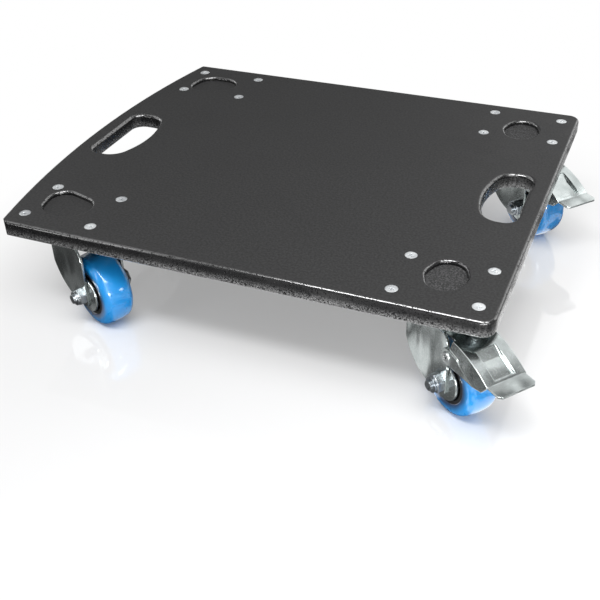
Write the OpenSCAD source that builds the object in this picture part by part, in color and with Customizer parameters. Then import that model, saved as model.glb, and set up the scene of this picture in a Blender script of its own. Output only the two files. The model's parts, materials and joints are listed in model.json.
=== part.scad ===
// Caster board: a rigid lacquered carrying board on four swivel casters.
// Origin: centre of the four swivel axes on the load face. +X runs along the
// board, +Y to its back, +Z up. All sizes are in millimetres.

/* [Board] */
// Thickness of the board
deck_t = 18; // [16:0.5:20]
// Distance between the swivel axes along the board
axis_x = 400; // [390:1:415]
// Distance between the swivel axes across the board
axis_y = 347.5; // [340:0.5:352]
// Overhang of the straight end past the swivel axes
end_margin = 59; // [57:0.5:64]
// Overhang of the long edges past the swivel axes
side_margin = 52.25; // [50:0.25:58]
// Overhang of the bowed end at its middle
bow_margin = 79; // [76:0.5:84]
// Rise of the bowed end over the width of the board
bow_rise = 24; // [18:0.5:28]
// Radius of the board's corners in plan
corner_r = 13; // [10:0.5:18]
// Round-over along the board's edges
edge_r = 3.5; // [2:0.25:4]

/* [Handle holes] */
// Length of the bowed end's handle hole
bow_hole_l = 108; // [100:1:116]
// Width of the bowed end's handle hole
bow_hole_w = 48; // [44:1:50]
// Width of the grip bar left at the middle of the bowed end
bow_grip = 20; // [18:0.5:23]
// Length of the straight end's handle hole
end_hole_l = 104; // [96:1:112]
// Width of the straight end's handle hole
end_hole_w = 42.5; // [38:0.5:45]
// Width of the grip bar at the straight end
end_grip = 20.5; // [18:0.5:23]
// Corner radius beside the grip bar
hole_outer_r = 12.5; // [10:0.5:15]
// Corner radius on the inner side
hole_inner_r = 20; // [17:0.5:23]
// Radius of the holes' bulged inner side
hole_bulge_r = 110; // [100:1:125]
// Round-over along the holes' edges
hole_lip_r = 4.5; // [3:0.25:5]

/* [Foot hollows] */
// Depth of the hollows that locate a load's feet
hollow_d = 5; // [4:0.5:6]
// Round-over of the hollows' rims
hollow_lip_r = 3; // [2:0.25:3.5]
// Wall radius of the straight end's hollows
end_hollow_r = 17; // [14:0.5:18]
// Distance between the centres of their two round ends
end_hollow_run = 15.5; // [12:0.5:17]
// Wall radius of the bowed end's hollows
bow_hollow_r = 20; // [18:0.5:21]
// Distance between the centres of their two near round ends
bow_hollow_run = 14; // [12:0.5:15]

/* [Fasteners] */
// Bolt spacing of a caster plate along the board
bolt_x = 80; // [78:0.5:82]
// Bolt spacing of a caster plate across the board
bolt_y = 60; // [58:0.5:61]
// Diameter of the plate screws
screw_d = 6; // [5.5:0.25:6.5]
// Diameter of the countersunk heads
screw_head_d = 12.4; // [11.5:0.1:12.8]
// Across flats of the lock nuts on the plate screws
nut_af = 10; // [9.5:0.25:11]
// Diameter of the washers
washer_d = 12.5; // [12:0.25:14]

/* [Caster] */
// Height from the mounting face to the floor
caster_h = 107; // [106:0.5:109]
// Horizontal distance from the swivel axis to the wheel axle
trail = 35; // [34:0.5:36]
// Length of the top plate
plate_l = 105; // [100:1:108]
// Width of the top plate
plate_w = 85; // [80:1:88]
// Thickness of the top plate
plate_t = 3; // [2.5:0.25:3.5]
// Diameter of the plate's bolt holes
plate_hole_d = 9; // [8.5:0.25:9.5]
// Outer width over the fork's legs
fork_w = 48; // [47:0.5:50]
// Sheet thickness of the fork
fork_t = 2.5; // [2:0.25:2.75]
// Radius of the fork's crown round the swivel axis
crown_r = 32; // [31:0.5:34]
// Swivel angle of the front left caster
yaw_fl = -27; // [-180:1:180]
// Swivel angle of the front right caster
yaw_fr = -38.5; // [-180:0.5:180]
// Swivel angle of the back left caster
yaw_bl = -33; // [-180:1:180]
// Swivel angle of the back right caster
yaw_br = -39.5; // [-180:0.5:180]

/* [Swivel head] */
// Diameter of the upper balls
upper_ball_d = 6; // [5.5:0.25:6.25]
// Radius of the upper ball ring
upper_ring_r = 16; // [15.5:0.25:16.5]
// Number of upper balls
upper_balls = 14; // [12:1:15]
// Diameter of the lower balls
lower_ball_d = 5; // [4.5:0.25:5.25]
// Radius of the lower ball ring
lower_ring_r = 11.5; // [11.25:0.25:12]
// Number of lower balls
lower_balls = 12; // [10:1:13]
// Diameter of the king pin
king_pin_d = 12; // [11:0.25:12.5]

/* [Wheel] */
// Wheel diameter
wheel_d = 80; // [79:0.5:81]
// Width of the tyre
tyre_w = 34; // [32:0.5:35]
// Radius of the plastic rim under the tyre
rim_r = 25.5; // [25:0.25:26.5]
// Radius of the tyre's shoulders
shoulder_r = 8; // [6:0.5:9]
// Radius of the tread's crown across the wheel
tread_r = 60; // [50:1:80]
// Diameter of the axle bolt
axle_d = 10; // [9.5:0.25:10.5]
// Across flats of the axle's head and nut
axle_af = 17; // [16:0.5:18]
// Radius of the thread guards
guard_r = 21; // [20:0.25:21.25]

/* [Brake] */
// Half width of the pedal along its ridge
ridge_w = 21.4; // [20:0.2:22]
// Radius of the pedal's arched top in side view
arch_r = 102; // [98:1:106]
// Sheet thickness of the pedal
pedal_t = 2; // [1.5:0.25:2.25]
// Reach of the toe lip past the pivot
toe_reach = 68.5; // [64:0.5:72]
// Width of the pressed pocket in the pedal
pocket_w = 22; // [18:0.5:24]
// Diameter of the pedal's pivot rivets
pivot_d = 6; // [5.5:0.25:6.5]
// Gap between brake shoe and tyre with the brake off
shoe_gap = 3.4; // [3.2:0.1:4]

/* [Hidden] */
$fn = 64;

// Running clearance of pins, balls and rollers
fit = 0.04;
// Overcut of a cutter past the face that it opens
cut = 1;
// Hair by which tight arcs stand proud of the straight runs beside them
lap = 0.02;
// Radius over which an arc of an outline is cut to its own stretch
wide_r = 40;
// Turn of the outer round-over from one of its short flats to the next
edge_step = 15;

// Places of the four casters, and their swivel angles
FL = [-1, -1, yaw_fl];
FR = [1, -1, yaw_fr];
BL = [-1, 1, yaw_bl];
BR = [1, 1, yaw_br];
CASTERS = [FL, FR, BL, BR];

// Board outline
deck_end_x = axis_x / 2 + end_margin;
deck_side_y = axis_y / 2 + side_margin;
deck_bow_x = -axis_x / 2 - bow_margin;
bow_r = (pow(deck_side_y, 2) + pow(bow_rise, 2)) / (2 * bow_rise);
bow_corner_y = deck_side_y - corner_r;
bow_corner_x = deck_bow_x + bow_r - sqrt(pow(bow_r - corner_r, 2) - pow(bow_corner_y, 2));
DECK_ROUNDS = [
    [deck_end_x - corner_r, -bow_corner_y, corner_r],
    [deck_end_x - corner_r, bow_corner_y, corner_r],
    [bow_corner_x, bow_corner_y, corner_r],
    [deck_bow_x + bow_r, 0, bow_r],
    [bow_corner_x, -bow_corner_y, corner_r],
];

// Foot hollows, measured from the swivel axis toward the middle of the board
end_hollow_in = 1;
end_hollow_side = 0.3;
end_hollow_mid_r = end_hollow_r + 2.5;
bow_hollow_near = [-15, 0.5];
bow_hollow_far = [-20, 9.5];
bow_hollow_far_r = bow_hollow_r - 3.5;

// Plate screws
screw_sunk = 0.3;
screw_clear = 0.2;
head_taper = (screw_head_d - screw_d) / 2;
washer_t = 1.6;
nut_h = 6;
screw_end = 1.2;
stack_t = deck_t + plate_t + washer_t + nut_h + screw_end;

// Swivel head, downward from the mounting face
groove_d = 0.8;
dish_r = 9.5;
dish_wall = 1.9;
pin_head_r = 8.6;
upper_ball_z = -plate_t - upper_ball_d / 2 + groove_d;
crown_z = upper_ball_z - upper_ball_d / 2 + groove_d;
crown_under_z = crown_z - fork_t;
lower_ball_z = crown_under_z - lower_ball_d / 2 + groove_d * 0.875;
race_z = lower_ball_z - lower_ball_d / 2 + groove_d * 0.875;
race_t = 3;
race_r = 15;
pin_foot_t = 3;
crown_hole_r = king_pin_d / 2 + 1.5;

// Fork legs in side view
axle_z = -(caster_h - wheel_d / 2);
leg_in = fork_w / 2 - fork_t;
leg_below = 13.5;
leg_rear = trail + 9;
lead_r = 50.5;
lead_u = 26;
leg_foot_r = 6;
leg_top_r = 20;
crown_edge_r = 4;
bend_r = 5;
flange_w = 3;
flange_top = 14;

// Wheel
wheel_r = wheel_d / 2;
tyre_hw = tyre_w / 2;
shoulder_v = tyre_hw - shoulder_r;
shoulder_x = wheel_r - tread_r + sqrt(pow(tread_r - shoulder_r, 2) - pow(shoulder_v, 2));
rim_hw = tyre_hw - 0.5;
rim_wall = 3.5;
tongue_hw = 6;
tongue_d = 2;
foot_r = 1;
hub_r = 12.5;
hub_hw = leg_in - 2.2;
guard_t = 1;
tube_r = axle_d / 2 + 1;
roller_r = 1.7;
roller_ring_r = tube_r + fit + roller_r;
hub_bore_r = roller_ring_r + roller_r + fit;
rollers = 8;
axle_head_h = 6.4;
axle_nut_h = 10;
axle_end = 3;

// Brake
pivot_u = trail + 10.5;
pivot_z = axle_z + 37;
pivot_boss_r = 5.5;
ear_in = fork_w / 2 + 0.4;
ear_r = 8.5;
arch_u = pivot_u - 5.5;
arch_z = pivot_z + 16.5 - arch_r;
arch_front = 4;
tail_front = -4.5;
tail_lap = 1;
tail_hw = 18.5;
arch_rear = 34.5;
skirt_z = pivot_z - 7.5;
skirt_drop = 12;
inner_drop = skirt_drop - 3;
skirt_corner_r = 1.5;
ear_corner_r = 3;
ear_foot_u = 18;
ear_back_u = 20;
ear_back_z = 4;
ear_top_u = 13;
ear_top_z = 3;
toe_corner = 3;
toe_root = 2;
toe_rise = 0.4;
toe_u = pivot_u + toe_reach;
toe_z = arch_z + arch_r * cos(arch_rear);
toe_hw = ridge_w - 1;
pocket_d = 3;
ramp_from = 13.5;
ramp_lap = 1;
pocket_from = 20;
pocket_to = 32.5;
shoe_hw = 12;
shoe_from = pivot_u + 8.5;
shoe_to = arch_u + (arch_r - pedal_t) * sin(ramp_from - ramp_lap);
rivet_head_r = 5.4;
rivet_bore_r = 2;
rivet_bore_d = 3;
spring_hw = 7;
spring_t = 1;
spring_gap = 3;
spring_u = leg_rear - 9;
rivet_head_t = 1.5;
rivet_foot_t = 1.2;
rivet_foot_r = 4.5;
rivet_crown = 1;
rivet_gap = 0.1;

// Direction of the outward normal of the belt's run from circle a to circle b
function run_angle(a, b) =
    let (d = norm([b[0] - a[0], b[1] - a[1]]))
    atan2(b[1] - a[1], b[0] - a[0]) - acos(max(-1, min(1, (a[2] - b[2]) / d)));
function rim_point(c, angle) = [c[0] + c[2] * cos(angle), c[1] + c[2] * sin(angle)];
function after(c, i) = c[(i + 1) % len(c)];
function before(c, i) = c[(i + len(c) - 1) % len(c)];
function wrap_in(c, i) = run_angle(before(c, i), c[i]);
function wrap_out(c, i) = run_angle(c[i], after(c, i));
function wrap_turn(c, i) = (wrap_out(c, i) - wrap_in(c, i) + 720) % 360;
function run_length(a, b) = norm(rim_point(b, run_angle(a, b)) - rim_point(a, run_angle(a, b)));
function is_wide(c) = c[2] > wide_r;

// Outline of a tight belt round circles [x, y, radius], listed counter-clockwise;
// a radius of 0 is a sharp corner, and a wide arc is cut to its own stretch
module belt(c) {
    polygon([for (i = [0:len(c) - 1]) each concat(
        c[i][2] > 0 && run_length(before(c, i), c[i]) > 0.001
            ? [rim_point(c[i], wrap_in(c, i))] : [],
        [rim_point(c[i], wrap_out(c, i))])]);
    for (i = [0:len(c) - 1]) {
        if (is_wide(c[i]))
            belt_arc(c[i], wrap_in(c, i), wrap_out(c, i));
        else if (c[i][2] > 0)
            translate([c[i][0], c[i][1]]) circle(c[i][2] + lap);
    }
}

// Segment of a wide circle between two belt angles
module belt_arc(c, from, to) {
    beyond = [c[0], c[1], c[2] * 1.1 / cos((to - from) / 2)];
    intersection() {
        translate([c[0], c[1]]) circle(c[2], $fn = max(64, ceil(c[2] * 2)));
        polygon([rim_point(c, from), rim_point(beyond, from), rim_point(beyond, to), rim_point(c, to)]);
    }
}

// Carries a flat profile round the tight arcs and straight runs of an opening's belt: x is
// out of the belt, y is up. Tight arcs stand proud by a hair and run on into the runs
// beside them, so that no two faces only touch.
module along_belt(c) {
    for (i = [0:len(c) - 1]) {
        more = 2 * sqrt(2 * c[i][2] * lap) / c[i][2] * 180 / PI;
        if (!is_wide(c[i]))
            translate([c[i][0], c[i][1], 0]) rotate([0, 0, wrap_in(c, i) - more])
                rotate_extrude(angle = wrap_turn(c, i) + 2 * more)
                    translate([c[i][2] + lap, 0]) children();
        run = run_length(c[i], after(c, i));
        if (run > 0.001)
            translate(concat(rim_point(after(c, i), wrap_out(c, i)), 0))
                rotate([90, 0, wrap_out(c, i)]) linear_extrude(run) children();
    }
}

// The same along an opening's wide arcs
module along_wide_arcs(c) {
    for (i = [0:len(c) - 1]) if (is_wide(c[i]))
        translate([c[i][0], c[i][1], 0]) rotate([0, 0, wrap_in(c, i)])
            rotate_extrude(angle = wrap_turn(c, i), $fn = ceil(c[i][2] * 2))
                translate([c[i][2], 0]) children();
}

// What a round-over takes off the rim of an opening in the face z = 0
module opening_lip(r) {
    difference() {
        translate([-cut, -r]) square([r + cut, r + cut]);
        translate([r - lap, lap - r]) circle(r);
    }
}

// What the round-over of an outer edge takes off, in short flats; it stands proud of
// the face z = 0 by a hair
module edge_profile() {
    polygon(concat(
        [for (a = [0:edge_step:90])
            [lap - edge_r + (edge_r + lap) * sin(a), lap - edge_r + (edge_r + lap) * cos(a)]],
        [[cut, -edge_r - 0.5], [cut, cut], [-edge_r - 0.5, cut]]));
}

// The round-over along the whole outer edge of the face z = 0: the long edges, the
// straight end, the bowed end and the four corners
module edge_round() {
    for (side = [0, 1]) mirror([0, side, 0])
        translate([deck_bow_x - cut, deck_side_y, 0]) rotate([90, 0, 90])
            linear_extrude(deck_end_x - deck_bow_x + 2 * cut) edge_profile();
    translate([deck_end_x, deck_side_y + cut, 0]) rotate([90, 0, 0])
        linear_extrude(2 * deck_side_y + 2 * cut) edge_profile();
    translate([deck_bow_x + bow_r, 0, 0]) rotate_extrude($fn = 2000)
        translate([bow_r, 0]) edge_profile();
    for (i = [0:len(DECK_ROUNDS) - 1]) if (!is_wide(DECK_ROUNDS[i]))
        translate([DECK_ROUNDS[i][0], DECK_ROUNDS[i][1], 0])
            rotate([0, 0, wrap_in(DECK_ROUNDS, i) - 3])
                rotate_extrude(angle = wrap_turn(DECK_ROUNDS, i) + 6)
                    translate([DECK_ROUNDS[i][2] + lap, 0]) edge_profile();
}

// Places on the board
module at_caster(c) translate([c[0] * axis_x / 2, c[1] * axis_y / 2, -deck_t]) children();
module on_swivel(c) at_caster(c) rotate([0, 0, c[2]]) children();
module on_axle(c) on_swivel(c) translate([trail, 0, axle_z]) rotate([-90, 0, 0]) children();
module at_bolts() {
    for (x = [-1, 1], y = [-1, 1]) translate([x * bolt_x / 2, y * bolt_y / 2, 0]) children();
}
module at_all_bolts() for (c = CASTERS) at_caster(c) at_bolts() children();

module at_bow_hole() translate([deck_bow_x + bow_grip, 0, 0]) children();
module at_end_hole() translate([deck_end_x - end_grip, 0, 0]) rotate([0, 0, 180]) children();

// D-shaped handle hole from a straight side at x = 0 to a bulged side at x = w
function hole_rounds(l, w) = let (
        bulge_x = w - hole_bulge_r,
        inner_y = l / 2 - hole_inner_r,
        inner_x = bulge_x + sqrt(pow(hole_bulge_r - hole_inner_r, 2) - pow(inner_y, 2)))
    [[hole_outer_r, hole_outer_r - l / 2, hole_outer_r],
     [inner_x, -inner_y, hole_inner_r],
     [bulge_x, 0, hole_bulge_r],
     [inner_x, inner_y, hole_inner_r],
     [hole_outer_r, l / 2 - hole_outer_r, hole_outer_r]];

// The round-over along a hole's bulged side, above and below
module bulge_round(l, w) {
    for (below = [0, 1]) translate([0, 0, -below * deck_t]) mirror([0, 0, below])
        along_wide_arcs(hole_rounds(l, w)) opening_lip(hole_lip_r);
}

module handle_cut(l, w) {
    rounds = hole_rounds(l, w);
    translate([0, 0, -deck_t - cut]) linear_extrude(deck_t + 2 * cut) belt(rounds);
    along_belt(rounds) opening_lip(hole_lip_r);
    translate([0, 0, -deck_t]) mirror([0, 0, 1]) along_belt(rounds) opening_lip(hole_lip_r);
}

module hollow_cut(rounds) {
    translate([0, 0, -hollow_d]) linear_extrude(hollow_d + cut) belt(rounds);
    along_belt(rounds) opening_lip(hollow_lip_r);
}

function end_hollow() = let (mid = end_hollow_in + end_hollow_run / 2) [
    [0.5, end_hollow_in, end_hollow_r],
    [0.5 + end_hollow_side, mid, end_hollow_mid_r],
    [0.5, end_hollow_in + end_hollow_run, end_hollow_r],
    [0.5 - end_hollow_side, mid, end_hollow_mid_r]];
function bow_hollow() = [
    concat(bow_hollow_near, bow_hollow_r),
    [bow_hollow_near[0] + bow_hollow_run, bow_hollow_near[1], bow_hollow_r],
    concat(bow_hollow_far, bow_hollow_far_r)];

// Board
module deck() {
    color([0.16, 0.16, 0.165])
    difference() {
        difference() {
            translate([0, 0, -deck_t]) linear_extrude(deck_t) belt(DECK_ROUNDS);
            at_bow_hole() bulge_round(bow_hole_l, bow_hole_w);
            at_end_hole() bulge_round(end_hole_l, end_hole_w);
        }
        edge_round();
        translate([0, 0, -deck_t]) mirror([0, 0, 1]) edge_round();
        at_bow_hole() handle_cut(bow_hole_l, bow_hole_w);
        at_end_hole() handle_cut(end_hole_l, end_hole_w);
        for (side = [0, 1]) mirror([0, side, 0]) {
            translate([axis_x / 2, -axis_y / 2, 0]) hollow_cut(end_hollow());
            translate([-axis_x / 2, -axis_y / 2, 0]) hollow_cut(bow_hollow());
        }
        at_all_bolts() screw_hole();
    }
}

// Clearance hole with a countersink for one plate screw
module screw_hole() {
    translate([0, 0, -cut]) cylinder(h = deck_t + 2 * cut, d = screw_d + 2 * screw_clear);
    translate([0, 0, deck_t - screw_sunk - head_taper])
        cylinder(h = head_taper, r1 = screw_d / 2, r2 = screw_head_d / 2);
    translate([0, 0, deck_t - screw_sunk]) cylinder(h = screw_sunk + cut, d = screw_head_d);
}

module deck_screws() {
    color([0.75, 0.76, 0.78])
    at_all_bolts() difference() {
        union() {
            translate([0, 0, deck_t - stack_t]) cylinder(h = stack_t - head_taper, d = screw_d);
            translate([0, 0, deck_t - screw_sunk - head_taper])
                cylinder(h = head_taper, r1 = screw_d / 2, r2 = screw_head_d / 2);
        }
        for (turn = [0, 90]) rotate([0, 0, turn])
            translate([-2.6, -0.55, deck_t - 2.4]) cube([5.2, 1.1, 3]);
    }
}

module deck_washers() {
    color([0.72, 0.73, 0.75])
    at_all_bolts() translate([0, 0, -plate_t - washer_t]) difference() {
        cylinder(h = washer_t, d = washer_d);
        translate([0, 0, -cut]) cylinder(h = washer_t + 2 * cut, d = screw_d + 0.4);
    }
}

module deck_nuts() {
    color([0.70, 0.71, 0.74])
    at_all_bolts() translate([0, 0, -plate_t - washer_t - nut_h]) lock_nut(nut_af, nut_h, screw_d);
}

// Hexagon lock nut standing on z = h, with its round collar below
module lock_nut(af, h, bore) {
    collar = h * 0.28;
    difference() {
        union() {
            cylinder(h = collar, d = af * 0.92);
            translate([0, 0, collar]) intersection() {
                rotate([0, 0, 30]) cylinder(h = h - collar, d = af / cos(30), $fn = 6);
                cylinder(h = h - collar, r1 = af * 0.61, r2 = af * 0.61 - 0.01);
                translate([0, 0, -af]) cylinder(h = af + h - collar, r1 = af * 1.5, r2 = af * 0.53);
            }
        }
        translate([0, 0, -cut]) cylinder(h = h + 2 * cut, d = bore + 2 * fit);
    }
}

// Top plate with its dished middle and ball groove
module top_plate() {
    r = 8;
    x = plate_l / 2 - r;
    y = plate_w / 2 - r;
    color([0.72, 0.74, 0.72])
    difference() {
        union() {
            translate([0, 0, -plate_t]) linear_extrude(plate_t)
                belt([[-x, -y, r], [x, -y, r], [x, y, r], [-x, y, r]]);
            translate([0, 0, -2 * plate_t]) cylinder(h = plate_t + 0.5, r = dish_r + dish_wall);
            translate([0, 0, -plate_t]) plate_lip();
        }
        translate([0, 0, -plate_t]) cylinder(h = plate_t + cut, r = dish_r);
        translate([0, 0, -3 * plate_t]) cylinder(h = 4 * plate_t, r = king_pin_d / 2 + fit);
        ball_groove(upper_ring_r, upper_ball_z, upper_ball_d);
        at_bolts() translate([0, 0, -plate_t - cut]) cylinder(h = plate_t + 2 * cut, d = plate_hole_d);
    }
}

// Lip that hangs round the upper balls and keeps dust out
module plate_lip() {
    r = upper_ring_r + upper_ball_d / 2 + 0.8;
    rotate_extrude() polygon([[r, 0.5], [r, -2.6], [r + 1.6, -2.6], [r + 3.4, 0], [r + 3.4, 0.5]]);
}

module ball_groove(ring_r, z, d) {
    translate([0, 0, z]) rotate_extrude() translate([ring_r, 0]) circle(d / 2 + fit);
}

// King pin, riveted over under the lower race
module king_pin() {
    color([0.66, 0.67, 0.69])
    rotate_extrude() polygon([
        [0, -0.3], [pin_head_r - 0.6, -0.3], [pin_head_r, -0.9], [pin_head_r, -plate_t],
        [king_pin_d / 2, -plate_t], [king_pin_d / 2, race_z - race_t],
        [pin_head_r, race_z - race_t], [pin_head_r - 0.8, race_z - race_t - pin_foot_t * 0.6],
        [pin_head_r - 3, race_z - race_t - pin_foot_t], [0, race_z - race_t - pin_foot_t]]);
}

module swivel_balls() {
    color([0.82, 0.83, 0.85]) {
        for (i = [0:upper_balls - 1]) rotate([0, 0, i * 360 / upper_balls])
            translate([upper_ring_r, 0, upper_ball_z]) sphere(d = upper_ball_d, $fn = 32);
        for (i = [0:lower_balls - 1]) rotate([0, 0, i * 360 / lower_balls])
            translate([lower_ring_r, 0, lower_ball_z]) sphere(d = lower_ball_d, $fn = 32);
    }
}

// Lower ball race, held by the king pin
module lower_race() {
    color([0.62, 0.64, 0.65])
    difference() {
        rotate_extrude() polygon([
            [king_pin_d / 2 + fit, race_z], [race_r - 0.8, race_z], [race_r, race_z - 0.8],
            [race_r, race_z - race_t + 1], [race_r - 1, race_z - race_t],
            [king_pin_d / 2 + fit, race_z - race_t]]);
        ball_groove(lower_ring_r, lower_ball_z, lower_ball_d);
    }
}

// Side view of the fork, u to the rear and z up; its top stands over the crown
function leg_rounds(inset, rise) = [
    [lead_u, axle_z - leg_below + lead_r, lead_r - inset],
    [leg_rear - leg_foot_r, axle_z - leg_below + leg_foot_r, leg_foot_r],
    [leg_rear - leg_top_r, crown_z - leg_top_r + rise, leg_top_r],
    [crown_edge_r - crown_r + 0.5, crown_z - crown_edge_r + rise, crown_edge_r - inset]];

// Turns a side view into a wall of the given half width
module side_wall(hw) rotate([90, 0, 0]) translate([0, 0, -hw]) linear_extrude(2 * hw) children();

// Plan of the fork: a round crown that runs into straight legs
module fork_plan(r, hw, rear) {
    intersection() {
        union() {
            circle(r);
            translate([0, -hw]) square([rear, 2 * hw]);
        }
        translate([-r - cut, -hw]) square([r + rear + 2 * cut, 2 * hw]);
    }
}

// End view of the fork: an inverted U with bent shoulders
module fork_arch(hw, top, r) {
    foot = axle_z - leg_below - 2;
    belt([[-hw, foot, 0], [hw, foot, 0], [hw - r, top - r, r], [r - hw, top - r, r]]);
}

// Pressed fork; a braked one has lobes for the pedal's pivots
module fork(braked) {
    foot = axle_z - leg_below - 2;
    color([0.70, 0.72, 0.70])
    difference() {
        intersection() {
            side_wall(fork_w / 2 + cut) {
                belt(leg_rounds(0, 1));
                if (braked) translate([pivot_u, pivot_z]) circle(pivot_boss_r);
            }
            translate([0, 0, foot]) linear_extrude(crown_z - foot + cut)
                fork_plan(crown_r, fork_w / 2, leg_rear + 20);
            rotate([90, 0, 90]) translate([0, 0, -crown_r - cut])
                linear_extrude(crown_r + leg_rear + 22) fork_arch(fork_w / 2, crown_z, bend_r);
        }
        fork_hollow(leg_in, foot);
        translate([0, 0, crown_under_z - cut]) cylinder(h = fork_t + 2 * cut, r = crown_hole_r);
        ball_groove(upper_ring_r, upper_ball_z, upper_ball_d);
        ball_groove(lower_ring_r, lower_ball_z, lower_ball_d);
        translate([trail, 0, axle_z]) rotate([90, 0, 0])
            cylinder(h = fork_w + 2 * cut, d = axle_d + 2 * fit, center = true);
        if (braked) translate([pivot_u, 0, pivot_z]) rotate([90, 0, 0])
            cylinder(h = fork_w + 2 * cut, d = pivot_d + 2 * fit, center = true);
    }
}

// Space inside the fork, leaving a turned-in flange along the leading edge
module fork_hollow(hw, foot) {
    narrow = hw - flange_w;
    intersection() {
        translate([0, 0, foot - cut]) linear_extrude(crown_z - foot)
            fork_plan(crown_r - fork_t, hw, leg_rear + 22);
        rotate([90, 0, 90]) translate([0, 0, -crown_r])
            linear_extrude(crown_r + leg_rear + 21) fork_arch(hw, crown_under_z, bend_r - fork_t);
        union() {
            side_wall(hw + cut) {
                belt(leg_rounds(fork_t, 6));
                translate([flange_top, foot - cut]) square([leg_rear + 20, crown_z - foot]);
            }
            translate([-crown_r, -narrow, foot - cut])
                cube([crown_r + leg_rear + 20, 2 * narrow, crown_z - foot + cut]);
        }
    }
}

// Axle bolt with a hexagon head
module axle_bolt() {
    reach = fork_w / 2 + axle_nut_h + axle_end;
    color([0.72, 0.73, 0.75]) {
        translate([0, 0, -reach]) cylinder(h = reach + fork_w / 2 + 1, d = axle_d);
        translate([0, 0, fork_w / 2]) intersection() {
            cylinder(h = axle_head_h, d = axle_af / cos(30), $fn = 6);
            cylinder(h = axle_head_h + axle_af, r1 = axle_af * 0.78, r2 = 0);
        }
    }
}

module axle_nut() {
    color([0.78, 0.79, 0.81])
    translate([0, 0, -fork_w / 2]) translate([0, 0, -axle_nut_h]) lock_nut(axle_af, axle_nut_h, axle_d);
}

// Spacer tube that the wheel turns on, clamped between the thread guards
module axle_tube() {
    l = leg_in - guard_t;
    color([0.6, 0.6, 0.62])
    translate([0, 0, -l]) difference() {
        cylinder(h = 2 * l, r = tube_r);
        translate([0, 0, -cut]) cylinder(h = 2 * l + 2 * cut, d = axle_d + 2 * fit);
    }
}

// Pair of dished thread guards
module thread_guards() {
    color([0.60, 0.62, 0.63])
    for (side = [0, 1]) mirror([0, 0, side]) rotate_extrude() polygon([
        [axle_d / 2 + fit, leg_in - guard_t], [12, leg_in - guard_t],
        [guard_r - 1.4, leg_in - guard_t - 1.2], [guard_r - 1, leg_in - 3.6],
        [guard_r, leg_in - 3.6], [guard_r, leg_in - 1.9], [guard_r - 0.9, leg_in - 1],
        [12, leg_in], [axle_d / 2 + fit, leg_in]]);
}

// Plastic rim with a hub, a web and eight ribs
module rim() {
    inner = rim_r - rim_wall;
    color([0.07, 0.07, 0.08])
    difference() {
        union() {
            rotate_extrude() polygon([
                [hub_bore_r, -hub_hw], [hub_r, -hub_hw], [hub_r, -3], [inner, -3],
                [inner, -rim_hw], [rim_r, -rim_hw], [rim_r, -tongue_hw],
                [rim_r - tongue_d, -tongue_hw], [rim_r - tongue_d, tongue_hw], [rim_r, tongue_hw],
                [rim_r, rim_hw], [inner, rim_hw], [inner, 3], [hub_r, 3],
                [hub_r, hub_hw], [hub_bore_r, hub_hw]]);
            for (i = [0:7]) rotate([0, 0, i * 45])
                translate([hub_r - 0.8, -1, 3 - rim_hw]) cube([inner - hub_r + 1.6, 2, 2 * rim_hw - 6]);
        }
        translate([0, 0, -hub_hw - cut]) cylinder(h = 2 * hub_hw + 2 * cut, r = hub_bore_r);
    }
}

// Solid tyre with rounded shoulders, keyed into the rim
module tyre() {
    foot_x = rim_r + foot_r + lap + fit;
    color([0.20, 0.50, 0.86])
    rotate_extrude($fn = 96) {
        difference() {
            belt([[foot_x, foot_r - tyre_hw, foot_r], [shoulder_x, -shoulder_v, shoulder_r],
                [wheel_r - tread_r, 0, tread_r], [shoulder_x, shoulder_v, shoulder_r],
                [foot_x, tyre_hw - foot_r, foot_r]]);
            translate([0, -wheel_d]) square([rim_r + fit + 3 * lap, 2 * wheel_d]);
        }
        translate([rim_r - tongue_d + fit, fit - tongue_hw])
            square([tongue_d + foot_r, 2 * (tongue_hw - fit)]);
    }
}

// Caged rollers between the hub and the spacer tube
module roller_bearing() {
    l = hub_hw - 1;
    color([0.55, 0.56, 0.58]) {
        difference() {
            union() {
                for (end = [-l, l - 2]) translate([0, 0, end]) cylinder(h = 2, r = hub_bore_r - 0.15);
                for (i = [0:rollers - 1]) rotate([0, 0, (i + 0.5) * 360 / rollers])
                    translate([roller_ring_r, 0, -l + 1]) cylinder(h = 2 * l - 2, r = 0.9);
            }
            translate([0, 0, -l - cut]) cylinder(h = 2 * l + 2 * cut, r = tube_r + 0.1);
        }
        for (i = [0:rollers - 1]) rotate([0, 0, i * 360 / rollers])
            translate([roller_ring_r, 0, -l + 2.1]) cylinder(h = 2 * l - 4.2, r = roller_r);
    }
}

// Carries a section round the pedal's arch: x is the height over the arch's
// centre, y is across the pedal, and the sweep runs from one angle to another
module arch_sweep(from, to) {
    translate([arch_u, 0, arch_z]) rotate([-90, 0, 0]) rotate([0, 0, from - 90])
        rotate_extrude(angle = to - from, $fn = 180) children();
}

// Folded section of the pedal: ridge sheet, sloping sides and drop skirts.
// The ridge sheet runs on between the fork's legs as the pedal's tail.
module pedal_section(r, hw, drop, out) {
    low = r - arch_r / 2;
    polygon([[r, -hw], [r, hw], [r - drop, out], [low, out], [low, -out], [r - drop, -out]]);
}

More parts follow.
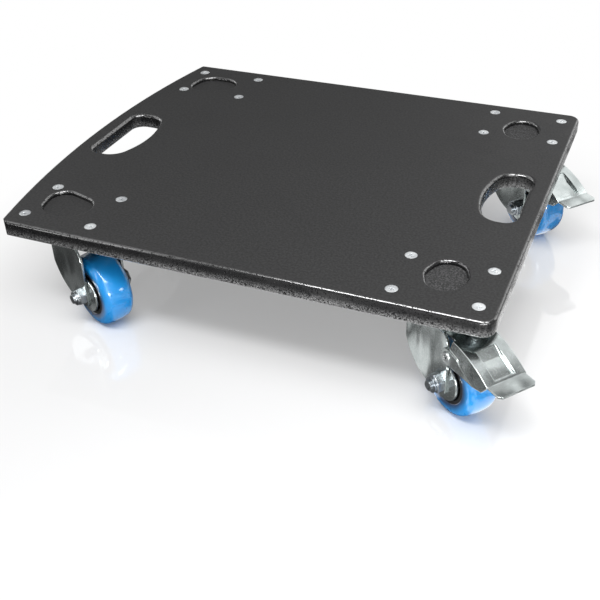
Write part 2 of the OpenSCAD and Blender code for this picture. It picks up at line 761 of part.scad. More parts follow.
module pedal_shell() {
    out = ear_in + pedal_t;
    difference() {
        arch_sweep(arch_front, arch_rear) pedal_section(arch_r, ridge_w, skirt_drop, out);
        arch_sweep(arch_front - 2, arch_rear + 2)
            pedal_section(arch_r - pedal_t, ridge_w - pedal_t, inner_drop, ear_in);
        translate([arch_u - arch_r, -out - cut, skirt_z - arch_r])
            cube([2 * arch_r, 2 * out + 2 * cut, arch_r]);
        arch_sweep(ramp_from + ramp_lap, pocket_to)
            translate([arch_r - pedal_t - cut, -pocket_w / 2]) square([pedal_t + 2 * cut, pocket_w]);
    }
    arch_sweep(tail_front, arch_front + tail_lap)
        translate([arch_r - pedal_t - lap, -tail_hw]) square([pedal_t - lap, 2 * tail_hw]);
}

// Point of the pedal's side view at a radius and an angle of its arch
function arch_point(r, angle) = [arch_u + r * sin(angle), arch_z + r * cos(angle)];

// Pressed pocket between the two tread rails, with a ramp down into it
module pedal_pocket() {
    floor_r = arch_r - pocket_d;
    side_wall(pocket_w / 2 + pedal_t * 0.9) polygon([
        arch_point(arch_r - 3 * lap, ramp_from), arch_point(floor_r - lap, pocket_from + ramp_lap),
        arch_point(floor_r - pedal_t + lap, pocket_from + 2 * ramp_lap),
        arch_point(floor_r - pedal_t + lap, pocket_from - ramp_lap),
        arch_point(arch_r - pedal_t * 1.2, ramp_from)]);
    arch_sweep(ramp_from + ramp_lap / 2, pocket_from + 2 * ramp_lap) for (side = [-1, 1])
        translate([floor_r - pedal_t * 0.9, side * (pocket_w + pedal_t) / 2 - pedal_t * 0.48])
            square([pocket_d + pedal_t / 2, pedal_t * 0.96]);
    arch_sweep(pocket_from, pocket_to - 0.3) {
        translate([floor_r - pedal_t, -pocket_w / 2 - pedal_t])
            square([pedal_t, pocket_w + 2 * pedal_t]);
        for (side = [-1, 1])
            translate([floor_r - pedal_t, side * (pocket_w + pedal_t) / 2 - pedal_t / 2])
                square([pocket_d + pedal_t / 2, pedal_t]);
    }
    arch_sweep(pocket_to - 0.6, pocket_to + 0.8)
        translate([floor_r - pedal_t * 0.9, -pocket_w / 2 - pedal_t * 0.9])
            square([pocket_d + pedal_t * 0.4, pocket_w + pedal_t * 1.8]);
}

// Brake pedal with toe lip, side ears and pressed pocket
module brake_pedal() {
    out = ear_in + pedal_t;
    color([0.74, 0.76, 0.74])
    difference() {
        union() {
            pedal_shell();
            pedal_pocket();
            pedal_toe();
            for (side = [0, 1]) mirror([0, side, 0]) translate([0, out + lap, 0]) rotate([90, 0, 0])
                linear_extrude(pedal_t + 2 * lap)
                    belt([[pivot_u, pivot_z, ear_r],
                        [pivot_u + ear_foot_u, skirt_z + skirt_corner_r, skirt_corner_r],
                        [pivot_u + ear_back_u, pivot_z - ear_back_z, ear_corner_r],
                        [pivot_u + ear_top_u, pivot_z + ear_top_z, ear_corner_r]]);
        }
        translate([pivot_u, 0, pivot_z]) rotate([90, 0, 0])
            cylinder(h = 2 * out + 2 * cut, d = pivot_d + 2 * fit, center = true);
    }
}

// Toe lip, turned out level at the end of the arch
module pedal_toe() {
    end = arch_u + arch_r * sin(arch_rear);
    translate([0, 0, toe_z - pedal_t + toe_rise]) linear_extrude(pedal_t)
        polygon([[end - toe_root, -toe_hw], [toe_u - toe_corner, -toe_hw],
            [toe_u, toe_corner - toe_hw], [toe_u, toe_hw - toe_corner],
            [toe_u - toe_corner, toe_hw], [end - toe_root, toe_hw]]);
}

// Two short rivets that carry the pedal's ears
module pedal_rivets() {
    out = ear_in + pedal_t;
    color([0.70, 0.71, 0.73])
    for (side = [0, 1]) mirror([0, side, 0]) translate([pivot_u, 0, pivot_z]) rotate([-90, 0, 0])
    difference() {
        union() {
            translate([0, 0, leg_in - rivet_foot_t])
                cylinder(h = out + rivet_head_t - leg_in + rivet_foot_t, d = pivot_d);
            translate([0, 0, leg_in - rivet_foot_t]) cylinder(h = rivet_foot_t, r = rivet_foot_r);
            translate([0, 0, out + rivet_gap])
                cylinder(h = rivet_head_t, r1 = rivet_head_r, r2 = rivet_head_r - rivet_crown);
        }
        translate([0, 0, out + rivet_head_t - rivet_bore_d])
            cylinder(h = rivet_bore_d + cut, r = rivet_bore_r);
    }
}

// Brake shoe: a pressed channel whose foot follows the tread
module brake_shoe() {
    color([0.55, 0.57, 0.57])
    difference() {
        side_wall(shoe_hw) shoe_side(0);
        side_wall(shoe_hw - pedal_t) shoe_side(pedal_t + 0.5);
    }
}

module shoe_side(inset) {
    difference() {
        intersection() {
            translate([arch_u, arch_z]) circle(arch_r - pedal_t - fit + inset, $fn = 180);
            translate([shoe_from - inset * 0.01, axle_z]) square([shoe_to - shoe_from, wheel_d]);
        }
        translate([trail, axle_z]) circle(wheel_r + shoe_gap + inset);
        if (inset > 0) translate([shoe_to - pedal_t, axle_z]) square([wheel_r, wheel_d]);
    }
}

// Leaf spring under the crown, which the pedal's tail presses up with the brake on
module brake_spring() {
    color([0.45, 0.46, 0.48])
    side_wall(spring_hw) polygon([
        [race_r + spring_gap, crown_under_z], [spring_u, crown_under_z],
        [spring_u + spring_t, crown_under_z - 0.4 * spring_t],
        [spring_u + spring_t, crown_under_z - 1.4 * spring_t],
        [spring_u, crown_under_z - spring_t], [race_r + spring_gap, crown_under_z - spring_t]]);
}

deck();
deck_screws();
deck_washers();
deck_nuts();
at_caster(FL) top_plate();  // top_plate_fl
at_caster(FL) king_pin();  // king_pin_fl
on_swivel(FL) swivel_balls();  // swivel_balls_fl
at_caster(FL) lower_race();  // lower_race_fl
on_swivel(FL) fork(false);  // fork_fl
on_axle(FL) axle_bolt();  // axle_bolt_fl
on_axle(FL) axle_nut();  // axle_nut_fl
on_axle(FL) axle_tube();  // axle_tube_fl
on_axle(FL) thread_guards();  // thread_guards_fl
on_axle(FL) rim();  // rim_fl
on_axle(FL) tyre();  // tyre_fl
on_axle(FL) roller_bearing();  // roller_bearing_fl
at_caster(FR) top_plate();  // top_plate_fr
at_caster(FR) king_pin();  // king_pin_fr
on_swivel(FR) swivel_balls();  // swivel_balls_fr
at_caster(FR) lower_race();  // lower_race_fr
on_swivel(FR) fork(true);  // fork_fr
on_axle(FR) axle_bolt();  // axle_bolt_fr
on_axle(FR) axle_nut();  // axle_nut_fr
on_axle(FR) axle_tube();  // axle_tube_fr
on_axle(FR) thread_guards();  // thread_guards_fr
on_axle(FR) rim();  // rim_fr
on_axle(FR) tyre();  // tyre_fr
on_axle(FR) roller_bearing();  // roller_bearing_fr
on_swivel(FR) brake_pedal();  // brake_pedal_fr
on_swivel(FR) pedal_rivets();  // pedal_rivets_fr
on_swivel(FR) brake_shoe();  // brake_shoe_fr
on_swivel(FR) brake_spring();  // brake_spring_fr
at_caster(BL) top_plate();  // top_plate_bl
at_caster(BL) king_pin();  // king_pin_bl
on_swivel(BL) swivel_balls();  // swivel_balls_bl
at_caster(BL) lower_race();  // lower_race_bl
on_swivel(BL) fork(false);  // fork_bl
on_axle(BL) axle_bolt();  // axle_bolt_bl
on_axle(BL) axle_nut();  // axle_nut_bl
on_axle(BL) axle_tube();  // axle_tube_bl
on_axle(BL) thread_guards();  // thread_guards_bl
on_axle(BL) rim();  // rim_bl
on_axle(BL) tyre();  // tyre_bl
on_axle(BL) roller_bearing();  // roller_bearing_bl
at_caster(BR) top_plate();  // top_plate_br
at_caster(BR) king_pin();  // king_pin_br
on_swivel(BR) swivel_balls();  // swivel_balls_br
at_caster(BR) lower_race();  // lower_race_br
on_swivel(BR) fork(true);  // fork_br
on_axle(BR) axle_bolt();  // axle_bolt_br
on_axle(BR) axle_nut();  // axle_nut_br
on_axle(BR) axle_tube();  // axle_tube_br
on_axle(BR) thread_guards();  // thread_guards_br
on_axle(BR) rim();  // rim_br
on_axle(BR) tyre();  // tyre_br
on_axle(BR) roller_bearing();  // roller_bearing_br
on_swivel(BR) brake_pedal();  // brake_pedal_br
on_swivel(BR) pedal_rivets();  // pedal_rivets_br
on_swivel(BR) brake_shoe();  // brake_shoe_br
on_swivel(BR) brake_spring();  // brake_spring_br
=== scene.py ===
import json
import math

import bmesh
import bpy
from mathutils import Matrix, Vector


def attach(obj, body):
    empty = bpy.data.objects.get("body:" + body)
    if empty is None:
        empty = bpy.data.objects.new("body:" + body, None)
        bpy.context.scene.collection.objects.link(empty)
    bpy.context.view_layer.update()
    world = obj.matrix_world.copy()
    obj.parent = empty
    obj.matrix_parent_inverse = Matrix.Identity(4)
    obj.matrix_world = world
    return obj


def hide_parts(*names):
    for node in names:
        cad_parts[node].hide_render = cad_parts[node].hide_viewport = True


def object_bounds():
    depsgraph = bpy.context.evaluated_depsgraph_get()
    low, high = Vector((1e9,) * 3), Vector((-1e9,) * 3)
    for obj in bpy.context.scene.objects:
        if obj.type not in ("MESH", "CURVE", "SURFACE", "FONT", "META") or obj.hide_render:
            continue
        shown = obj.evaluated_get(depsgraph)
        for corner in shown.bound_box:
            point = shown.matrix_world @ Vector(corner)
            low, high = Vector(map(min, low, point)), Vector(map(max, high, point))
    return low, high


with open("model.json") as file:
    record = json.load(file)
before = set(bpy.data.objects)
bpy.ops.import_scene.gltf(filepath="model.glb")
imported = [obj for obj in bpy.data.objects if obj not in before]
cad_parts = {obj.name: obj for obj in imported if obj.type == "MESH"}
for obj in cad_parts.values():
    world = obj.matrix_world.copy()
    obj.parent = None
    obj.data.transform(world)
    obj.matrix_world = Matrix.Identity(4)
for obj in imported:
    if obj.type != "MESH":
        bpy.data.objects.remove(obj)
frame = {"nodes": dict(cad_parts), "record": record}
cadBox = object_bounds()
print("frame loaded", len(frame["nodes"]), "nodes")


# a socket that can stand in sums
class Value:
    def __init__(self, paint, socket):
        self.paint = paint
        self.socket = socket

    def sum(self, kind, a, b):
        return self.paint.node("ShaderNodeMath", {"operation": kind}, {0: a, 1: b})

    def __add__(self, other):
        return self.sum("ADD", self, other)

    def __radd__(self, other):
        return self.sum("ADD", other, self)

    def __sub__(self, other):
        return self.sum("SUBTRACT", self, other)

    def __rsub__(self, other):
        return self.sum("SUBTRACT", other, self)

    def __mul__(self, other):
        return self.sum("MULTIPLY", self, other)

    def __rmul__(self, other):
        return self.sum("MULTIPLY", other, self)

    def __pow__(self, other):
        return self.sum("POWER", self, other)

    def larger(self, other):
        return self.sum("MAXIMUM", self, other)


# one material, or the world, and its nodes
class Paint:
    def __init__(self, owner):
        self.owner = owner
        owner.use_nodes = True
        self.tree = owner.node_tree
        self.tree.nodes.clear()

    def node(self, kind, settings=None, sockets=None, out=0):
        made = self.tree.nodes.new(kind)
        for key, value in (settings or {}).items():
            setattr(made, key, value)
        for key, value in (sockets or {}).items():
            if isinstance(value, Value):
                self.tree.links.new(value.socket, made.inputs[key])
            else:
                made.inputs[key].default_value = value
        return Value(self, made.outputs[out]) if made.outputs else None

    def place(self):
        return self.node("ShaderNodeTexCoord", out="Object")

    def along(self, vector, axis):
        return self.node("ShaderNodeSeparateXYZ", {}, {0: vector}, out=axis)

    def vectors(self, operation, a, b, out="Vector"):
        return self.node("ShaderNodeVectorMath", {"operation": operation}, {0: a, 1: b}, out=out)

    def length(self, vector):
        return self.node("ShaderNodeVectorMath", {"operation": "LENGTH"}, {0: vector}, out="Value")

    def noise(self, vector, scale, detail=3.0, roughness=0.5):
        return self.node("ShaderNodeTexNoise", {}, {
            "Vector": vector, "Scale": scale, "Detail": detail, "Roughness": roughness})

    def grey(self, value, low, high, start=0.0, end=1.0):
        return self.node("ShaderNodeMapRange", {"interpolation_type": "SMOOTHSTEP"}, {
            "Value": value, "From Min": low, "From Max": high, "To Min": start, "To Max": end})

    def blended(self, factor, a, b):
        return self.node("ShaderNodeMix", {"data_type": "RGBA"}, {0: factor, 6: a, 7: b}, out=2)

    def bump(self, height, distance, strength=1.0, normal=None):
        sockets = {"Height": height, "Distance": distance, "Strength": strength}
        if normal:
            sockets["Normal"] = normal
        return self.node("ShaderNodeBump", {}, sockets)

    # the edges of sheet and board catch the light as if a little rounded
    def softEdge(self, radius):
        return self.node("ShaderNodeBevel", {"samples": 6}, {"Radius": radius})

    def lightPath(self, name):
        return self.node("ShaderNodeLightPath", out=name)

    def seenDirectly(self):
        return self.lightPath("Is Camera Ray").larger(self.lightPath("Is Transmission Ray"))

    def finish(self, sockets):
        surface = self.node("ShaderNodeBsdfPrincipled", {}, sockets)
        self.node("ShaderNodeOutputMaterial", {}, {"Surface": surface})
        return self.owner


def newPaint(name):
    return Paint(bpy.data.materials.new(name))


def rgb(red, green, blue):
    return (red, green, blue, 1.0)


# camera
view = {
    "lens": 56.53,
    "sensor": 36.0,
    "nearest": 0.02,
    "place": (0.365878, -0.877493, 0.482356),
    "right": (0.92253399, 0.38496863, -0.02702216),
    "ahead": (-0.32934806, 0.74887934, -0.57507355),
}
cameraData = bpy.data.cameras.new("camera")
cameraData.lens = view["lens"]
cameraData.sensor_width = view["sensor"]
cameraData.clip_start = view["nearest"]
camera = bpy.data.objects.new("camera", cameraData)
bpy.context.scene.collection.objects.link(camera)
right = Vector(view["right"]).normalized()
ahead = Vector(view["ahead"]).normalized()
up = right.cross(ahead).normalized()
turn = Matrix((right, up, -ahead)).transposed().to_4x4()
camera.matrix_world = Matrix.Translation(view["place"]) @ turn
bpy.context.scene.camera = camera
bpy.context.scene.view_settings.view_transform = "Standard"
print("camera set")

# what the studio's walls and ceiling send to the metal, and to everything else
studioWalls = {
    "screenCount": 3.0,
    "screenTurn": 4.3,  # radians
    "screenEdge": (-0.3, 0.4),  # where a gap turns into a screen, of the wave from -1 to 1
    "screenGlow": 1.5,
    "gapGlow": 0.2,
    "ceilingEdge": (0.75, 0.92),  # upward part of a direction, 1 straight up
    "ceilingGlow": 0.9,
    "dayFill": 0.15,
}


def makeWorld():
    world = bpy.data.worlds.new("studio")
    bpy.context.scene.world = world
    paint = Paint(world)
    direct = paint.seenDirectly()
    # metal mirrors bright screens with dark gaps between them
    toward = paint.node("ShaderNodeTexCoord", out="Generated")
    east = paint.along(toward, "X")
    north = paint.along(toward, "Y")
    height = paint.along(toward, "Z")
    bearing = north.sum("ARCTAN2", north, east) * studioWalls["screenCount"] + studioWalls["screenTurn"]
    wave = bearing.sum("SINE", bearing, 0.0)
    screens = paint.grey(
        wave, *studioWalls["screenEdge"], studioWalls["gapGlow"], studioWalls["screenGlow"])
    ceiling = paint.grey(height, *studioWalls["ceilingEdge"])
    mirrored = screens * (1 - ceiling) + ceiling * studioWalls["ceilingGlow"]
    glossy = paint.lightPath("Is Glossy Ray")
    indirect = glossy * mirrored + (1 - glossy) * studioWalls["dayFill"]
    strength = (1 - direct) * indirect + direct
    light = paint.node("ShaderNodeBackground", {}, {"Color": rgb(1, 1, 1), "Strength": strength})
    paint.node("ShaderNodeOutputWorld", {}, {"Surface": light})


# a pale glossy floor that turns white away from the board
studioFloor = {
    "height": cadBox[0][2],
    "size": 40.0,
    "colour": rgb(0.8, 0.8, 0.805),
    "roughness": 0.05,
    "ior": 2.2,
    "greyMiddle": (0.1, -0.13, 0.0),
    "greyTo": 0.26,  # metres from the grey middle
    "whiteFrom": 0.6,
    "underGlow": 0.3,
    "contact": 0.03,  # how far the dark reaches from what touches the floor
    "contactEdge": (0.1, 0.9),
    "mirroredPart": 0.95,
    "bouncedGlow": 0.5,
    "frontReach": (-0.36, 0.3),  # metres from left to right, with the glow at both ends
    "frontGlow": (0.05, 1.05),
    "endReach": (0.34, 0.46),
    "endGlow": (1.0, 0.3),
    "backReach": (0.0, 0.3),  # metres to the back
    "backGlow": 0.6,
    "patches": 20.0,
    "patchEdge": (0.46, 0.54),
    "patchGlow": (0.12, 1.35),
}


def makeFloor():
    paint = newPaint("floor")
    place = paint.place()
    reach = paint.length(paint.vectors("SUBTRACT", place, studioFloor["greyMiddle"]))
    # where ambient occlusion finds something close, the floor's white glow fades out: a painted contact
    # shadow on top of the lamps' own shadow
    clear = paint.node("ShaderNodeAmbientOcclusion", {"samples": 8}, {
        "Distance": studioFloor["contact"]}, out="AO")
    fade = paint.grey(
        reach, studioFloor["greyTo"], studioFloor["whiteFrom"], studioFloor["underGlow"], 1.0)
    fade = fade * paint.grey(clear, *studioFloor["contactEdge"])
    glossyFloor = paint.node("ShaderNodeBsdfPrincipled", {}, {
        "Base Color": studioFloor["colour"], "Roughness": studioFloor["roughness"],
        "IOR": studioFloor["ior"]})
    direct = paint.seenDirectly()
    mirrored = paint.lightPath("Is Glossy Ray")
    fade = fade.larger(mirrored * studioFloor["mirroredPart"])
    # what metal mirrors of the floor is patchy, bright to the front right and dim to its left
    east = paint.along(place, "X")
    north = paint.along(place, "Y")
    front = paint.grey(east, *studioFloor["frontReach"], *studioFloor["frontGlow"])
    front = front * paint.grey(east, *studioFloor["endReach"], *studioFloor["endGlow"])
    behind = paint.grey(north, *studioFloor["backReach"])
    patches = paint.noise(place, studioFloor["patches"], 1.0, 0.4)
    patches = paint.grey(patches, *studioFloor["patchEdge"], *studioFloor["patchGlow"])
    glow = (front * (1 - behind) + behind * studioFloor["backGlow"]) * patches
    strength = direct + mirrored * glow + (1 - direct - mirrored) * studioFloor["bouncedGlow"]
    backdrop = paint.node("ShaderNodeEmission", {}, {"Color": rgb(1, 1, 1), "Strength": strength})
    mixed = paint.node("ShaderNodeMixShader", {}, {0: fade, 1: glossyFloor, 2: backdrop})
    paint.node("ShaderNodeOutputMaterial", {}, {"Surface": mixed})
    mesh = bpy.data.meshes.new("floor")
    half = studioFloor["size"] / 2
    corners = [(-half, -half, 0), (half, -half, 0), (half, half, 0), (-half, half, 0)]
    mesh.from_pydata(corners, [], [(0, 1, 2, 3)])
    floor = bpy.data.objects.new("floor", mesh)
    floor.location = (0, 0, studioFloor["height"])
    bpy.context.scene.collection.objects.link(floor)
    mesh.materials.append(paint.owner)


# soft lamps: the key draws the bright line along the board's near edge
lamps = {
    "overhead": {
        "place": (0.5, -0.5, 0.95), "aim": (0.15, -0.15, 0), "size": (0.8, 0.6), "power": 11.0},
    "key": {
        "place": (-0.08, -1.15, 1.85), "aim": (0, -0.1, -0.05), "size": (1.15, 0.35), "power": 25.0},
    "left strip": {
        "place": (-1.0, -1.4, 0.55), "aim": (-0.1, -0.1, -0.05), "size": (0.16, 1.2), "power": 2.0},
    "right strip": {
        "place": (0.5, -0.85, 0.0), "aim": (0.25, -0.2, -0.05), "size": (0.6, 0.12), "power": 5.5},
    "back fill": {
        "place": (-1.6, 0.7, 0.4), "aim": (0, 0, -0.05), "size": (0.8, 0.4), "power": 1.5},
    "rim": {
        "place": (1.5, 0.9, 1.2), "aim": (0.1, 0, -0.05), "size": (0.4, 0.8), "power": 2.0},
}


def makeLamp(name, place, aim, size, power):
    data = bpy.data.lights.new(name, "AREA")
    data.shape = "RECTANGLE"
    data.size, data.size_y = size
    data.energy = power
    lamp = bpy.data.objects.new(name, data)
    lamp.location = place
    lamp.rotation_euler = (Vector(aim) - Vector(place)).to_track_quat("-Z", "Y").to_euler()
    bpy.context.scene.collection.objects.link(lamp)


makeWorld()
makeFloor()
for lampName, settings in lamps.items():
    makeLamp(lampName, **settings)
print("studio lit")

# the board's lacquer
lacquer = {
    "thickness": 0.018,
    "levelAt": (0.86, 0.985),  # how far a face looks up or down, from edge to flat
    "top": rgb(0.025, 0.025, 0.0252),
    "topGrain": rgb(0.044, 0.044, 0.0445),
    "edge": rgb(0.007, 0.007, 0.0075),
    # grey painted on the lower part of the edge: a painted reflection of the bright floor, broken by fibre
    # specks
    "wornAndSheen": rgb(0.27, 0.27, 0.272),
    "paintedSheenUpTo": 0.35,  # parts of the thickness, as are the next two
    # white painted in a thin band at the board's bottom corner: a painted highlight
    "paintedLipHighlight": rgb(0.8, 0.8, 0.8),
    "paintedLipHighlightFrom": 0.9,
    "paintedLipHighlightTo": 0.97,
    "sealedTop": (-0.0035, -0.002),
    "thinnest": 0.4,  # coat halfway down the edge
    "coarse": rgb(0.085, 0.085, 0.087),
    "coarseDepth": (-0.003, -0.0045),
    "coarseFloor": (-0.012, -0.008),
    "coarseAcross": (0.0, 0.05),
    "fibre": 620.0,  # grain sizes, finer as they grow
    "grain": 420.0,
    "peel": 330.0,
    "crater": 560.0,
    "wear": 14.0,
    "grainEdge": (0.3, 0.72),
    "coarseEdge": (0.5, 0.58),
    "pitEdge": (0.56, 0.61),
    "paintedSheenSpeckEdge": (0.42, 0.6),
    "paintedLipHighlightEdge": (0.3, 0.5),
    "topRoughness": (0.44, 0.54),
    "sideRoughness": (0.2, 0.36),
    "ior": 1.45,
    "shine": 0.17,
    "coatRoughness": 0.17,
    "coatIor": 2.1,
    "relief": 0.0004,
    "reliefStrength": 0.7,
    "grainRelief": 0.3,  # parts of the relief
    "coarseRelief": 4,
    "peelRelief": 0.7,
    "fibreRelief": 1.5,
    "pitRelief": 3,
    "softEdge": 0.0012,
}


def makeLacquer():
    paint = newPaint("board lacquer")
    place = paint.place()
    across = paint.along(place, "X")
    height = paint.along(place, "Z")
    upward = paint.along(paint.node("ShaderNodeNewGeometry", out="True Normal"), "Z")
    level = paint.grey(upward.sum("ABSOLUTE", upward, 0.0), *lacquer["levelAt"])
    bottom = -lacquer["thickness"]
    # the lower part of the edge is painted a speckled grey, a painted reflection of the bright floor, and a
    # thin white band at the board's bottom corner is a painted highlight; fibre relief stands out below, and
    # the coat is thinnest halfway down
    low = paint.grey(height, bottom, bottom * lacquer["paintedSheenUpTo"], 1.0, 0.0) * (1 - level)
    paintedLipBand = paint.grey(height, bottom * lacquer["paintedLipHighlightTo"], bottom * lacquer["paintedLipHighlightFrom"], 1.0, 0.0)
    paintedLipBand = paintedLipBand * (1 - level)
    sealed = low * (1 - lacquer["thinnest"]) + lacquer["thinnest"]
    sealed = paint.grey(height, *lacquer["sealedTop"]).larger(sealed)
    # the floors of the two hollows at the straight end were left coarse
    sunk = paint.grey(height, *lacquer["coarseDepth"]) * paint.grey(height, *lacquer["coarseFloor"])
    sunk = level * sunk * paint.grey(across, *lacquer["coarseAcross"])
    grain = paint.noise(place, lacquer["grain"], 4.0, 0.65)
    peel = paint.noise(place, lacquer["peel"], 2.0, 0.5)
    fibre = paint.noise(place, lacquer["fibre"], 4.0, 0.8)
    crater = paint.noise(place, lacquer["crater"], 3.0, 0.6)
    wear = paint.noise(place, lacquer["wear"], 3.0, 0.6)
    pits = paint.grey(crater, *lacquer["pitEdge"])
    top = paint.blended(paint.grey(grain, *lacquer["grainEdge"]), lacquer["top"], lacquer["topGrain"])
    top = paint.blended(sunk * paint.grey(crater, *lacquer["coarseEdge"]), top, lacquer["coarse"])
    # painted reflection of the floor on the lower edge, then a painted highlight at the bottom corner
    paintedSheenSpecks = low * paint.grey(fibre, *lacquer["paintedSheenSpeckEdge"]) * (1 - pits)
    edge = paint.blended(paintedSheenSpecks, lacquer["edge"], lacquer["wornAndSheen"])
    edge = paint.blended(paintedLipBand * paint.grey(fibre, *lacquer["paintedLipHighlightEdge"]), edge, lacquer["paintedLipHighlight"])
    rough = paint.grey(wear, 0.3, 0.7, *lacquer["topRoughness"]) * level
    rough = rough + paint.grey(peel, 0.35, 0.7, *lacquer["sideRoughness"]) * (1 - level)
    relief = peel * lacquer["peelRelief"] + fibre * low * lacquer["fibreRelief"]
    relief = (relief - pits * lacquer["pitRelief"]) * (1 - level)
    onTop = grain * level * lacquer["grainRelief"] + crater * sunk * lacquer["coarseRelief"]
    rounded = paint.softEdge(lacquer["softEdge"])
    return paint.finish({
        "Base Color": paint.blended(level, edge, top), "Roughness": rough,
        "IOR": lacquer["ior"], "Specular IOR Level": lacquer["shine"],
        "Coat Weight": (1 - level) * (1 - pits) * sealed,
        "Coat Roughness": lacquer["coatRoughness"], "Coat IOR": lacquer["coatIor"],
        "Normal": paint.bump(onTop + relief, lacquer["relief"], lacquer["reliefStrength"], rounded)})


# zinc plate: cloudy, faintly scratched, and uneven where the sheet was pressed
zinc = {
    "pale": rgb(0.56, 0.6, 0.595),
    "dull": rgb(0.43, 0.47, 0.465),
    "cloud": 42.0,
    "spangle": 300.0,
    "scratch": 1500.0,
    "scratchRun": (1.0, 1.0, 0.08),
    "scratchDepth": 0.00002,
    "scratchStrength": 0.25,
    "wave": 34.0,
    "waveRun": (1.0, 1.0, 0.3),
    "waveDepth": 0.009,
    "softEdge": 0.001,
}


def makeZinc(name, smooth, coarse, wavy, pale=zinc["pale"], dull=zinc["dull"]):
    paint = newPaint(name)
    place = paint.place()
    cloud = paint.noise(place, zinc["cloud"], 4.0, 0.6)
    speck = paint.noise(place, zinc["spangle"], 3.0, 0.6)
    scratch = paint.noise(paint.vectors("MULTIPLY", place, zinc["scratchRun"]), zinc["scratch"], 2.0, 0.6)
    wave = paint.noise(paint.vectors("MULTIPLY", place, zinc["waveRun"]), zinc["wave"], 1.0, 0.3)
    mask = paint.grey(cloud * 0.85 + speck * 0.15, 0.3, 0.7)
    rounded = paint.softEdge(zinc["softEdge"])
    wornAndSheen = paint.bump(scratch, zinc["scratchDepth"], zinc["scratchStrength"], rounded)
    return paint.finish({
        "Base Color": paint.blended(mask, dull, pale), "Metallic": 1.0,
        "Roughness": paint.grey(speck * 0.3 + scratch * 0.7, 0.3, 0.7, smooth, coarse),
        "Normal": paint.bump(wave, zinc["waveDepth"] * wavy, 1.0, wornAndSheen)})


# moulded plastic with a fine matt grain
rimPlastic = {
    "dark": rgb(0.012, 0.012, 0.013),
    "pale": rgb(0.022, 0.022, 0.023),
    "grain": 1500.0,
    "grainDepth": 0.0001,
    "cloud": 60.0,
    "roughness": (0.42, 0.55),
    "shine": 0.15,
}


def makePlastic():
    paint = newPaint("rim plastic")
    place = paint.place()
    grain = paint.noise(place, rimPlastic["grain"], 2.0, 0.5)
    cloud = paint.noise(place, rimPlastic["cloud"], 3.0, 0.5)
    colour = paint.blended(paint.grey(cloud, 0.3, 0.7), rimPlastic["dark"], rimPlastic["pale"])
    return paint.finish({
        "Base Color": colour, "Roughness": paint.grey(grain, 0.3, 0.7, *rimPlastic["roughness"]),
        "Specular IOR Level": rimPlastic["shine"],
        "Normal": paint.bump(grain, rimPlastic["grainDepth"], 0.5)})


finishes = {
    "board_lacquer": makeLacquer(),
    "zinc_sheet": makeZinc("zinc sheet", 0.2, 0.28, 1.0),
    "zinc_pressed": makeZinc("zinc pressed", 0.16, 0.24, 0.35),
    "zinc_matt": makeZinc("zinc matt", 0.5, 0.62, 0.1, rgb(0.84, 0.86, 0.87), rgb(0.5, 0.52, 0.54)),
    "zinc_bright": makeZinc("zinc bright", 0.24, 0.36, 0.3, rgb(0.5, 0.53, 0.55), rgb(0.26, 0.28, 0.3)),
    "plain_steel": makeZinc("plain steel", 0.25, 0.36, 0.2, rgb(0.55, 0.57, 0.57), rgb(0.42, 0.44, 0.44)),
    "bearing_steel": makeZinc("bearing steel", 0.1, 0.18, 0.05, rgb(0.66, 0.67, 0.69), rgb(0.56, 0.57, 0.6)),
    "rim_plastic": makePlastic(),
}
print("finishes made", len(finishes))

# the nodes take their finishes, and the pedals and the board's screws one of their own
ownFinish = {"brake_pedal": "zinc_pressed", "deck_screws": "zinc_matt"}
slots = {part["node"]: part["material_slot"] for part in frame["record"]["subparts"]}
for nodeName, nodeObject in frame["nodes"].items():
    own = next((ownFinish[start] for start in ownFinish if nodeName.startswith(start)), slots[nodeName])
    finish = finishes.get(own)
    if not finish:
        continue
    if not nodeObject.material_slots:
        nodeObject.data.materials.append(finish)
    for slot in nodeObject.material_slots:
        slot.material = finish
print("nodes dressed")

# tyres
tyre = {
    "radius": 0.04,
    "rim": 0.0255,
    "width": 0.034,
    "shoulder": 0.008,
    "crown": 0.06,
    "turns": 240,
    "ribs": 120,
    "ribHeight": 0.0006,
    "ribBand": (0.0355, 0.0385),  # radii
    "ribMargin": 0.0004,
    "beadIn": 0.0005,  # the corner that meets the rim
    "beadSink": 0.0003,
    "beadRise": 0.0006,
    "sideRings": (0.0048, 0.0024),  # below the shoulder's centre
    "shoulderSteps": 12,
    "crownSteps": 8,
    "deep": rgb(0.001, 0.022, 0.08),
    "milky": rgb(0.006, 0.24, 0.62),
    "milkyFrom": 0.009,
    "swirl": 0.012,
    "streaks": 24.0,
    "grain": 900.0,
    "grainDepth": 0.00008,
    "roughness": (0.25, 0.35),
    "scatter": 0.06,
    "scatterColours": (0.2, 0.6, 1.0),
    "scatterReach": 0.006,
    "coatRoughness": 0.06,
    "coatIor": 1.65,
}


# colour depends on how far a point is from the wheel's axle, as in cast elastic rubber
def makeTyreBlue(name, hub, axis):
    paint = newPaint(name)
    place = paint.place()
    arm = paint.vectors("SUBTRACT", place, hub)
    along = paint.vectors("DOT_PRODUCT", arm, axis, "Value")
    length = paint.length(arm)
    reach = (length * length - along * along) ** 0.5
    swirl = paint.noise(place, tyre["streaks"], 3.0, 0.5)
    reach = reach + (swirl - 0.5) * tyre["swirl"]
    depth = paint.grey(reach, tyre["rim"], tyre["rim"] + tyre["milkyFrom"])
    grain = paint.noise(place, tyre["grain"], 2.0, 0.5)
    return paint.finish({
        "Base Color": paint.blended(depth, tyre["deep"], tyre["milky"]),
        "Roughness": paint.grey(swirl, 0.3, 0.7, *tyre["roughness"]),
        "Subsurface Weight": tyre["scatter"], "Subsurface Radius": tyre["scatterColours"],
        "Subsurface Scale": tyre["scatterReach"],
        "Coat Weight": 1.0, "Coat Roughness": tyre["coatRoughness"], "Coat IOR": tyre["coatIor"],
        "Normal": paint.bump(grain, tyre["grainDepth"], 0.5)})


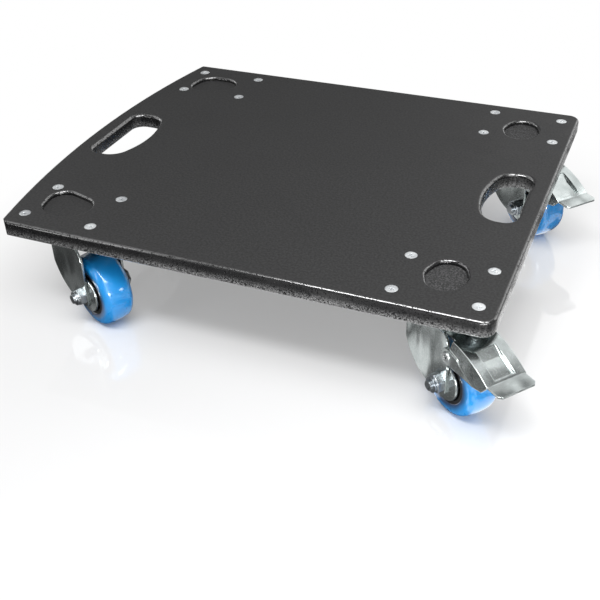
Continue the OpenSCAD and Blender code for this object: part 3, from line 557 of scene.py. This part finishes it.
# half profile of the tyre from the rim to the middle of the tread, as (along the axle, out)
def tyreProfile():
    half = tyre["width"] / 2
    r = tyre["shoulder"]
    points = [
        (half - tyre["beadIn"], tyre["rim"] - tyre["beadSink"]), (half, tyre["rim"] + tyre["beadRise"])]
    crownZ = tyre["radius"] - tyre["crown"]
    # the shoulder's circle touches the side and the crown from inside
    reach = tyre["crown"] - r
    centreV = half - r
    centreR = crownZ + math.sqrt(reach * reach - centreV * centreV)
    last = math.atan2(centreR - crownZ, centreV)
    points += [(half, centreR - below) for below in tyre["sideRings"]]
    for step in range(tyre["shoulderSteps"] + 1):
        angle = last * step / tyre["shoulderSteps"]
        points.append((centreV + r * math.cos(angle), centreR + r * math.sin(angle)))
    for step in range(1, tyre["crownSteps"] + 1):
        angle = last + (math.pi / 2 - last) * step / tyre["crownSteps"]
        points.append((tyre["crown"] * math.cos(angle), crownZ + tyre["crown"] * math.sin(angle)))
    return points


def makeTyre(key):
    joint = next(j for j in frame["record"]["behaviour"]["joints"] if j["name"] == "roll_" + key)
    hub = Vector(joint["pos_m"])
    axis = Vector(joint["axis"]).normalized()
    up = Vector((0, 0, 1))
    side = up.cross(axis).normalized()
    half = tyreProfile()
    profile = half + [(-v, r) for v, r in reversed(half[:-1])]
    bandFrom, bandTo = tyre["ribBand"]
    mesh = bpy.data.meshes.new("tyre_" + key)
    work = bmesh.new()
    rings = []
    for turn in range(tyre["turns"]):
        angle = 2 * math.pi * turn / tyre["turns"]
        out = up * math.cos(angle) + side * math.sin(angle)
        rib = 1 if turn % (tyre["turns"] // tyre["ribs"]) else 0
        ring = []
        for v, r in profile:
            # a fine ribbed band on each shoulder
            onBand = bandFrom < r < bandTo and abs(v) < tyre["width"] / 2 - tyre["ribMargin"]
            lift = -tyre["ribHeight"] * rib if onBand else 0.0
            ring.append(work.verts.new(hub + axis * v + out * (r + lift)))
        rings.append(ring)
    count = len(rings)
    for turn in range(count):
        here, there = rings[turn], rings[(turn + 1) % count]
        for step in range(len(profile)):
            after = (step + 1) % len(profile)
            work.faces.new((here[step], here[after], there[after], there[step]))
    bmesh.ops.recalc_face_normals(work, faces=work.faces)
    work.to_mesh(mesh)
    work.free()
    for face in mesh.polygons:
        face.use_smooth = True
    piece = bpy.data.objects.new("cast_tyre_" + key, mesh)
    bpy.context.scene.collection.objects.link(piece)
    mesh.materials.append(makeTyreBlue("tyre blue " + key, hub, axis))
    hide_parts("tyre_" + key)
    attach(piece, "wheel_" + key)


for key in ("fl", "fr", "bl", "br"):
    makeTyre(key)
print("tyres cast")
